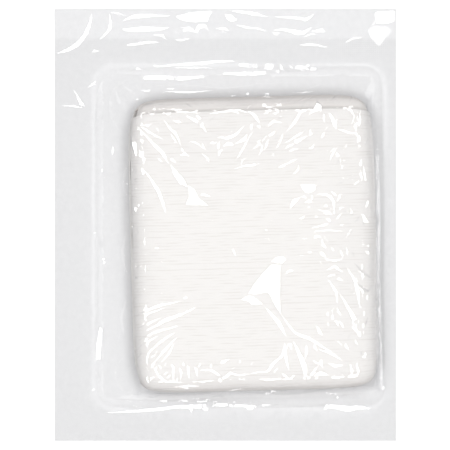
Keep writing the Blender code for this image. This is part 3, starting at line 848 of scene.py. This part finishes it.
def inside_block(x, y):
    """How far a point lies inside the block's nearest edge, or outside if negative."""
    right, up = on_block(x, y)
    return np.minimum(GAUZE_WIDTH / 2 - np.abs(right), GAUZE_LENGTH / 2 - np.abs(up))


def film_floor(x, y):
    """The lowest that the film can lie: on the paper, or on the block where that is under it."""
    right, up = on_block(x, y)
    on_gauze = GAUZE_SEAT + stack_height * block_share(right, up) + FILM_OVER_GAUZE
    on_paper = PAPER_THICKNESS + web_lift(y) + FILM_OVER_PAPER
    return np.where(inside_block(x, y) > -EDGE_CLEARANCE, on_gauze, on_paper)


def shoulder_wander(along, side):
    """How far the film's shoulder strays inwards on one side of the block, this far along it."""
    return SHOULDER_WANDER * waver(along, side * 40 * MM, SHOULDER_WANDER_SIZE, seed=36)


def film_rest(x, y):
    """The film's height without its folds: flat on the flange, up the tray's wall, and taut over the block."""
    right, up = on_block(x, y)
    share_x = np.minimum(
        tent_share(right + GAUZE_WIDTH / 2 + shoulder_wander(up, 1), ROOM_LEFT),
        tent_share(GAUZE_WIDTH / 2 - right + shoulder_wander(up, 2), ROOM_RIGHT),
    )
    share_y = np.minimum(
        tent_share(up + GAUZE_LENGTH / 2 + shoulder_wander(right, 3), ROOM_FOOT_END),
        tent_share(GAUZE_LENGTH / 2 - up + shoulder_wander(right, 4), ROOM_PEEL_END),
    )
    roof = stack_height * share_x * share_y + FILM_OVER_GAUZE
    on_paper = PAPER_THICKNESS + web_lift(y) + FILM_OVER_PAPER
    wall_share = np.clip(inside_tray(x, y) / WALL_RUN, 0, 1)
    loose = eased((y - seal_end) / FLAP_RUN) * FLAP_RIPPLE * (1 + waver(x, y, FLAP_RIPPLE_SIZE, seed=33))
    return np.maximum(on_paper + loose + wall_share * (GAUZE_SEAT + roof), film_floor(x, y))


def crease_lines():
    """The film's long creases as lines of (x, y) points: round the tray's foot, and along the block's shoulders."""
    half_x, half_y = (tray_right - tray_left) / 2 - TRAY_CORNER, (tray_peel - tray_foot) / 2 - TRAY_CORNER
    corners = []
    for number, (side_x, side_y) in enumerate(((1, 1), (-1, 1), (-1, -1), (1, -1))):
        turn = math.pi / 2 * (number + np.linspace(0, 1, CORNER_STEPS))
        middle_x = (tray_left + tray_right) / 2 + side_x * half_x
        middle_y = (tray_foot + tray_peel) / 2 + side_y * half_y
        corners.extend(zip(middle_x + TRAY_CORNER * np.cos(turn), middle_y + TRAY_CORNER * np.sin(turn)))
    corners = np.array([*corners, corners[0]])
    reached = np.concatenate([[0.0], np.cumsum(np.hypot(*np.diff(corners, axis=0).T))])
    at = np.linspace(0, reached[-1], round(reached[-1] / CREASE_STEP) + 1)
    lines = [np.stack([np.interp(at, reached, corners[:, axis]) for axis in (0, 1)], axis=1)[:-1]]
    facet = SHOULDER_SLOPES[1] * SHOULDER_RUN / ((1 - EDGE_HEIGHT_SHARE) * stack_height)
    inset = SHOULDER_RUN * (1 + (1 - math.hypot(1, facet)) / facet) - SIDE_CLEARANCE
    up = np.arange(-GAUZE_LENGTH / 2, GAUZE_LENGTH / 2, CREASE_STEP)
    right = np.arange(-GAUZE_WIDTH / 2, GAUZE_WIDTH / 2, CREASE_STEP)
    for side, number in ((-1, 1), (1, 2)):
        edge = side * (GAUZE_WIDTH / 2 - inset + shoulder_wander(up, number))
        lines.append(np.stack(on_pouch(edge, up), axis=1))
    for side, number in ((-1, 3), (1, 4)):
        edge = side * (GAUZE_LENGTH / 2 - inset + shoulder_wander(right, number))
        lines.append(np.stack(on_pouch(right, edge), axis=1))
    return lines


def crowding(x, y):
    """How crumpled the film is, from 0 on the calm middle of the block to 1 along its shoulders and its right."""
    right, up = on_block(x, y)
    shoulder = np.exp(-((inside_block(x, y) - CROWDED_INSIDE) ** 2) / CROWDED_REACH**2)
    right_side = eased((right - 22 * MM) / (26 * MM)) * 0.9
    peel_side = eased((up - 26 * MM) / (18 * MM)) * 0.7
    return np.clip(np.maximum.reduce([shoulder, right_side, peel_side]), CROWDED_LEAST, 1)


def fold_samples(route, widest):
    """Points along a fold's route with their left normals and their share of its length, one at its widest."""
    corners = np.array(route, float) * MM
    reached = np.concatenate([[0.0], np.cumsum(np.hypot(*np.diff(corners, axis=0).T))])
    count = max(2, math.ceil(reached[-1] / FOLD_STEP))
    shares = np.unique(np.append(np.arange(count + 1) / count, widest))
    x, y = (np.interp(shares * reached[-1], reached, corners[:, axis]) for axis in (0, 1))
    heading = np.stack([np.gradient(x, shares), np.gradient(y, shares)])
    normal_x, normal_y = np.array([-heading[1], heading[0]]) / np.hypot(*heading)
    stray = FOLD_WANDER * waver(x, y, FOLD_WANDER_SIZE, seed=34) * np.sin(math.pi * shares)
    return x + normal_x * stray, y + normal_y * stray, normal_x, normal_y, shares


def built_fold(lit, widest, fullness, route, slope=LIT_SLOPE):
    """A fold's ridge, lit foot and back foot as three lines of (x, y, z) points that meet at both its ends."""
    x, y, normal_x, normal_y, shares = fold_samples(route, widest)
    taper = np.minimum(shares / widest, (1 - shares) / (1 - widest)) ** fullness
    width = abs(lit) * MM * taper * (1 + WIDTH_STRAY * waver(x, y, WIDTH_STRAY_SIZE, seed=35))
    back = taper * np.clip(BACK_SHARE * abs(lit) * MM, BACK_LEAST, BACK_MOST)
    lean = np.hypot(1, np.diff(width) / np.hypot(np.diff(x), np.diff(y)))
    rise = slope * width / np.concatenate([lean[:1], (lean[:-1] + lean[1:]) / 2, lean[-1:]])
    side = math.copysign(1, lit)
    lit_x, lit_y = x + side * normal_x * width, y + side * normal_y * width
    back_x, back_y = x - side * normal_x * back, y - side * normal_y * back
    lit_foot, at_rest = film_rest(lit_x, lit_y), film_rest(x, y)
    falls = np.mean(lit_foot - rise - at_rest) >= 0
    ridge = np.maximum(lit_foot + (-rise if falls else rise), film_floor(x, y))
    ridge[[0, -1]] = at_rest[[0, -1]]
    lines = ((x, y, ridge), (lit_x, lit_y, lit_foot), (back_x, back_y, film_rest(back_x, back_y)))
    return [np.stack(line, axis=1) for line in lines]


def built_facet(bearing, slope, corners):
    """A flat facet's outline and the foot that it falls to all round, as closed lines of (x, y, z) points."""
    outline = []
    for start, end in zip(corners, (*corners[1:], corners[0])):
        parts = max(1, round(math.dist(start, end) / (FOLD_STEP / MM)))
        outline.extend(np.linspace(start, end, parts, endpoint=False))
    x, y = np.array(outline).T * MM
    stray_x = FOLD_WANDER * waver(x, y, FOLD_WANDER_SIZE, seed=37)
    stray_y = FOLD_WANDER * waver(x, y, FOLD_WANDER_SIZE, seed=38)
    x, y = x + stray_x, y + stray_y
    reach = x * math.cos(math.radians(bearing)) + y * math.sin(math.radians(bearing))
    lift = slope * (reach - reach.min())
    z = lift + np.max(film_floor(x, y) - lift)
    away = np.hypot(x - x.mean(), y - y.mean())
    foot = (FACET_FOOT + FACET_LEAN * np.maximum(z - film_rest(x, y), 0)) / away
    foot_x, foot_y = x + (x - x.mean()) * foot, y + (y - y.mean()) * foot
    return np.stack([x, y, z], axis=1), np.stack([foot_x, foot_y, film_rest(foot_x, foot_y)], axis=1)


def zone_folds(taken):
    """The small folds of the crumpled zones, clear of each other and of the points that are taken already."""
    pick = np.random.default_rng(51)
    folds = []
    for row in ZONES:
        zone = dict(zip(ZONE_COLUMNS, row))
        for _ in range(zone["count"]):
            middle = pick.uniform(zone["low"], zone["high"])
            bearing = math.radians(zone["bearing"] + pick.uniform(-1, 1) * zone["spread"])
            half = zone["length"] * pick.uniform(0.3, 0.75) * np.array([math.cos(bearing), math.sin(bearing)])
            bend = half[::-1] * (1, -1) * pick.uniform(-0.25, 0.25)
            lit = zone["lit"] * pick.uniform(0.5, 1.4) * pick.choice((-1, 1))
            widest, fullness = pick.uniform(0.25, 0.75), pick.uniform(0.6, 1.1)
            slope = LIT_SLOPE if pick.uniform() < zone["glinting"] else pick.uniform(*pick.choice(DULL_SLOPES))
            fold = built_fold(lit, widest, fullness, (middle - half, middle + bend, middle + half), slope)
            places = np.concatenate(fold)[:, :2]
            gaps = np.hypot(*(places[:, None] - taken[None]).transpose(2, 0, 1))
            if gaps.min() > FOLD_ROOM:
                folds.append(fold)
                taken = np.concatenate([taken, places])
    return folds


def part_of_film(x, y):
    """The number in NETS of the part of the film that each point lies on."""
    inside = inside_tray(x, y)
    to_block = inside_block(x, y)
    names = [row[0] for row in NETS]
    part = np.full(len(x), names.index("flange"))
    part[y > seal_end - 2 * MM] = names.index("flap")
    part[inside > -2 * MM] = names.index("tray edge")
    part[inside > 5.5 * MM] = names.index("tent")
    part[to_block > -1.5 * MM] = names.index("crumpled")
    part[(to_block > 9 * MM) & (crowding(x, y) < 0.3)] = names.index("calm")
    return part


def net_points():
    """Scattered points for the film between its folds, as dense as each part needs."""
    pick = np.random.default_rng(52)
    kept = []
    for number, row in enumerate(NETS):
        cell = dict(zip(NET_COLUMNS, row))["cell"] * MM
        across = np.arange(pouch_low.x + cell, pouch_high.x - 0.6 * cell, cell)
        up = np.arange(pouch_low.y + cell, pouch_high.y - 0.6 * cell, cell)
        spots = np.stack(np.meshgrid(across, up), axis=-1).reshape(-1, 2)
        spots[:, 0] += np.resize((0.0, 0.5), len(up)).repeat(len(across)) * cell
        spots += pick.uniform(-NET_STRAY, NET_STRAY, spots.shape) * cell
        inner = spots[:, 0] < pouch_high.x - 0.4 * cell
        kept.append(spots[inner & (part_of_film(spots[:, 0], spots[:, 1]) == number)])
    return np.concatenate(kept)


def outside_all(spots, outlines):
    """Which points lie clear of every fold's and facet's outline."""
    clear = np.ones(len(spots), bool)
    for ring in outlines:
        near = np.flatnonzero(
            np.all((spots > ring.min(axis=0) - FOLD_ROOM) & (spots < ring.max(axis=0) + FOLD_ROOM), axis=1)
        )
        inside = np.zeros(len(near), bool)
        close = np.full(len(near), np.inf)
        x, y = spots[near].T
        for start, end in zip(ring, np.roll(ring, -1, axis=0)):
            run = end - start
            t = np.clip(((x - start[0]) * run[0] + (y - start[1]) * run[1]) / (run @ run + 1e-12), 0, 1)
            close = np.minimum(close, np.hypot(x - start[0] - t * run[0], y - start[1] - t * run[1]))
            crosses = (start[1] > y) != (end[1] > y)
            reach = start[0] + run[0] * (y - start[1]) / (run[1] if run[1] else 1e-12)
            inside ^= crosses & (x < reach)
        clear[near[inside | (close < FOLD_ROOM)]] = False
    return clear


rim_x = np.linspace(pouch_low.x, pouch_high.x, round((pouch_high.x - pouch_low.x) / RIM_STEP) + 1)
rim_y = np.linspace(pouch_low.y, pouch_high.y, round((pouch_high.y - pouch_low.y) / RIM_STEP) + 1)
rim = np.concatenate(
    [
        np.stack([rim_x[:-1], np.full(len(rim_x) - 1, pouch_low.y)], axis=1),
        np.stack([np.full(len(rim_y) - 1, pouch_high.x), rim_y[:-1]], axis=1),
        np.stack([rim_x[:0:-1], np.full(len(rim_x) - 1, pouch_high.y)], axis=1),
        np.stack([np.full(len(rim_y) - 1, pouch_low.x), rim_y[:0:-1]], axis=1),
    ]
)
facets = [built_facet(**dict(zip(FACET_COLUMNS, row))) for row in FACETS]
folds = [built_fold(**dict(zip(FOLD_COLUMNS, row))) for row in FOLDS]
folds += [built_fold(lit, FAN_WIDEST, FAN_FULLNESS, route) for lit, *route in FAN]
folds += [built_fold(*row, slope=DARK_SLOPE) for row in DARK_FOLDS]
folds += zone_folds(np.concatenate([line[:, :2] for shape in facets + folds for line in shape]))
outlines = [foot[:, :2] for _, foot in facets]
outlines += [np.concatenate([lit_foot, back_foot[-2:0:-1]])[:, :2] for _, lit_foot, back_foot in folds]
creases = crease_lines()
net = net_points()
for line in creases:
    near_line = np.hypot(*(net[:, None] - line[None]).transpose(2, 0, 1)).min(axis=1)
    net = net[near_line > CREASE_ROOM]
net = net[outside_all(net, outlines)]
crumple = CRUMPLE_RISE * crowding(net[:, 0], net[:, 1]) * np.random.default_rng(53).uniform(-0.4, 1, len(net))
crumple = crumple * eased((inside_block(net[:, 0], net[:, 1]) + 3 * MM) / (4 * MM))

# Each chain of points is joined along its fold line, so that the sheet creases there.
points = [
    np.column_stack([rim, film_rest(rim[:, 0], rim[:, 1])]),
    np.column_stack([net, film_rest(net[:, 0], net[:, 1]) + crumple]),
]
edges = [(i, (i + 1) % len(rim)) for i in range(len(rim))]
laid = len(rim) + len(net)
for line in creases:
    kept = outside_all(line, outlines)
    numbers = laid + np.cumsum(kept) - 1
    joined = kept[:-1] & kept[1:]
    edges.extend(zip(numbers[:-1][joined].tolist(), numbers[1:][joined].tolist()))
    points.append(np.column_stack([line, film_rest(line[:, 0], line[:, 1])])[kept])
    laid += int(kept.sum())
for line in (line for facet in facets for line in facet):
    edges.extend((laid + i, laid + (i + 1) % len(line)) for i in range(len(line)))
    points.append(line)
    laid += len(line)
for ridge, lit_foot, back_foot in folds:
    start, end = laid, laid + len(ridge) - 1
    edges.extend(zip(range(start, end), range(start + 1, end + 1)))
    points.append(ridge)
    laid = end + 1
    for foot in (lit_foot, back_foot):
        chain = [start, *range(laid, laid + len(foot) - 2), end]
        edges.extend(zip(chain[:-1], chain[1:]))
        points.append(foot[1:-1])
        laid += len(foot) - 2
points = np.concatenate(points)

# The sheet is laid out by its fold lines, which run at every angle and no grid follows.
flat = [Vector(spot) for spot in points[:, :2]]
placed, links, triangles, sources, link_sources, _ = geometry.delaunay_2d_cdt(flat, edges, [], 0, 1e-7)
places = np.array([tuple(spot) for spot in placed])
heights = film_rest(places[:, 0], places[:, 1])
for i, source in enumerate(sources):
    if source:
        heights[i] = points[source[0], 2]
sheet = bpy.data.meshes.new("clear_film_cover")
sheet.from_pydata(np.column_stack([places, heights]).tolist(), links, triangles)
film = bpy.data.objects.new("clear_film_cover", sheet)
bpy.context.collection.objects.link(film)
creased = {frozenset(links[i]) for i, source in enumerate(link_sources) if source}
sharp = [frozenset(edge.vertices) in creased for edge in sheet.edges]
sheet.attributes.new("sharp_edge", "BOOLEAN", "EDGE").data.foreach_set("value", sharp)
x, y = places.T
keep_on_points(film, "sealed", sealed_share(x, y))
keep_on_points(film, "knurled", knurled_share(x, y))
# The crumpled share sets the film's fine crinkle, and also where painted shade darkens the steep film by the block.
keep_on_points(film, "crumpled", crowding(x, y) * eased((inside_block(x, y) + 1 * MM) / (3 * MM)))
wall(film, FILM_THICKNESS, offset=1, smooth_to=16)

# Clear packing film is polyamide over polyethylene: smooth and hard enough to throw sharp glints, with an index of
# about 1.5. Where it is sealed down it greys the paper a little, and where it hangs over the paper it doesn't.
clear_film = new_material("clear_packing_film")
place = add_node(clear_film, "ShaderNodeTexCoord").outputs["Object"]
crinkle = add_node(
    clear_film,
    "ShaderNodeTexNoise",
    {"noise_type": "RIDGED_MULTIFRACTAL"},
    {"Vector": place, "Scale": 330.0, "Detail": 3.0, "Roughness": 0.55},
)
crumpled = add_node(clear_film, "ShaderNodeAttribute", {"attribute_name": "crumpled"})
crinkle_height = add_node(
    clear_film,
    "ShaderNodeMath",
    {"operation": "MULTIPLY"},
    {0: crinkle.outputs["Fac"], 1: crumpled.outputs["Fac"]},
)
crinkled = add_node(
    clear_film,
    "ShaderNodeBump",
    inputs={"Height": crinkle_height.outputs[0], "Strength": 0.2, "Distance": 0.05 * MM},
)
film_knurl = add_node(
    clear_film,
    "ShaderNodeBump",
    inputs={
        "Height": knurl_height(clear_film, place),
        "Strength": 0.25,
        "Distance": 0.03 * MM,
        "Normal": crinkled.outputs["Normal"],
    },
)
facing = add_node(
    clear_film,
    "ShaderNodeLayerWeight",
    inputs={"Blend": 0.5, "Normal": film_knurl.outputs["Normal"]},
)
steep = add_node(clear_film, "ShaderNodeMath", {"operation": "POWER"}, {0: facing.outputs["Facing"], 1: 5.0})
mirrored = add_node(
    clear_film,
    "ShaderNodeMath",
    {"operation": "MULTIPLY_ADD", "use_clamp": True},
    {0: steep.outputs[0], 1: 0.6, 2: 0.045},
)
sealed = add_node(clear_film, "ShaderNodeAttribute", {"attribute_name": "sealed"})
tint = add_node(
    clear_film,
    "ShaderNodeMix",
    {"data_type": "RGBA"},
    {"Factor": sealed.outputs["Fac"], "A": linear("#FFFFFF"), "B": linear("#FDFDFD")},
)
# Partly real and partly painted shade: where the film is steep in the crumpled zones, its see-through colour
# darkens towards grey. This draws the dark lines beside the folds and along the block's shoulders. The rest is the
# light that steep film really turns away.
along_film = add_node(
    clear_film,
    "ShaderNodeMath",
    {"operation": "POWER"},
    {0: facing.outputs["Facing"], 1: 1.6},
)
painted_fold_shade = add_node(
    clear_film,
    "ShaderNodeMath",
    {"operation": "MULTIPLY"},
    {0: along_film.outputs[0], 1: crumpled.outputs["Fac"]},
)
shaded_film_tint = add_node(
    clear_film,
    "ShaderNodeMix",
    {"data_type": "RGBA"},
    {"Factor": painted_fold_shade.outputs[0], "A": tint.outputs["Result"], "B": linear("#DADADD")},
)
clear = add_node(clear_film, "ShaderNodeBsdfTransparent", inputs={"Color": shaded_film_tint.outputs["Result"]})
gloss = add_node(
    clear_film,
    "ShaderNodeBsdfGlossy",
    inputs={"Color": linear("#FFFFFF"), "Roughness": 0.09, "Normal": film_knurl.outputs["Normal"]},
)
film_shader = add_node(
    clear_film,
    "ShaderNodeMixShader",
    inputs={0: mirrored.outputs[0], 1: clear.outputs["BSDF"], 2: gloss.outputs["BSDF"]},
)
add_node(clear_film, "ShaderNodeOutputMaterial", inputs={"Surface": film_shader.outputs["Shader"]})
film.data.materials.append(clear_film)
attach(film, "root")
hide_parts("film_cover")


# The surface under the pouch is a plain white table, lit by a pale room and by eight softboxes that stand in a ring
# round the camera, so that a fold glints whichever way it runs.

FLOOR_SIZE = 8.0
CAMERA_HEIGHT = 3.0
SENSOR_MM = 36.0
VIEW_WIDTH = 204.5 * MM
PHOTO_OFFSET = 0.18 * MM
SOFTBOX_HEIGHT = 3.2
SOFTBOX_COUNT = 8
SOFTBOX_ANGLE = math.radians(21.0)
SOFTBOX_SIZE = (0.66, 1.02)
SOFTBOX_POWER = 15.6
ROOM_STRENGTH = 0.3

bpy.ops.object.select_all(action="DESELECT")
bpy.ops.mesh.primitive_plane_add(size=FLOOR_SIZE, location=(0.0, 0.0, pouch_low.z - 0.1 * MM))
table = bpy.context.object
table.name = "white_table"
table_white = new_material("matt_white_table")
table_shader = add_node(
    table_white,
    "ShaderNodeBsdfPrincipled",
    inputs={"Base Color": linear("#FBFBFB"), "Roughness": 0.9, "Specular IOR Level": 0.1},
)
add_node(table_white, "ShaderNodeOutputMaterial", inputs={"Surface": table_shader.outputs["BSDF"]})
table.data.materials.append(table_white)

for number in range(SOFTBOX_COUNT):
    bearing = math.tau * number / SOFTBOX_COUNT
    away = SOFTBOX_HEIGHT * math.tan(SOFTBOX_ANGLE)
    lamp_place = Vector((math.cos(bearing) * away, math.sin(bearing) * away, SOFTBOX_HEIGHT))
    bpy.ops.object.light_add(type="AREA", location=lamp_place)
    softbox = bpy.context.object
    softbox.name = f"softbox_{number}"
    softbox.data.shape = "RECTANGLE"
    softbox.data.size, softbox.data.size_y = SOFTBOX_SIZE
    softbox.data.energy = SOFTBOX_POWER
    softbox.rotation_euler = (0.0, SOFTBOX_ANGLE, bearing)

room = bpy.data.worlds.new("pale_room")
room.use_nodes = True
bpy.context.scene.world = room
room_light = room.node_tree.nodes["Background"]
room_light.inputs["Color"].default_value = linear("#FFFFFF")
room_light.inputs["Strength"].default_value = ROOM_STRENGTH

bpy.ops.object.camera_add(location=(-PHOTO_OFFSET, 0.0, CAMERA_HEIGHT), rotation=(0.0, 0.0, 0.0))
camera = bpy.context.object
camera.data.sensor_width = SENSOR_MM
camera.data.lens = SENSOR_MM * CAMERA_HEIGHT / VIEW_WIDTH
bpy.context.scene.camera = camera
bpy.context.scene.view_settings.view_transform = "Standard"
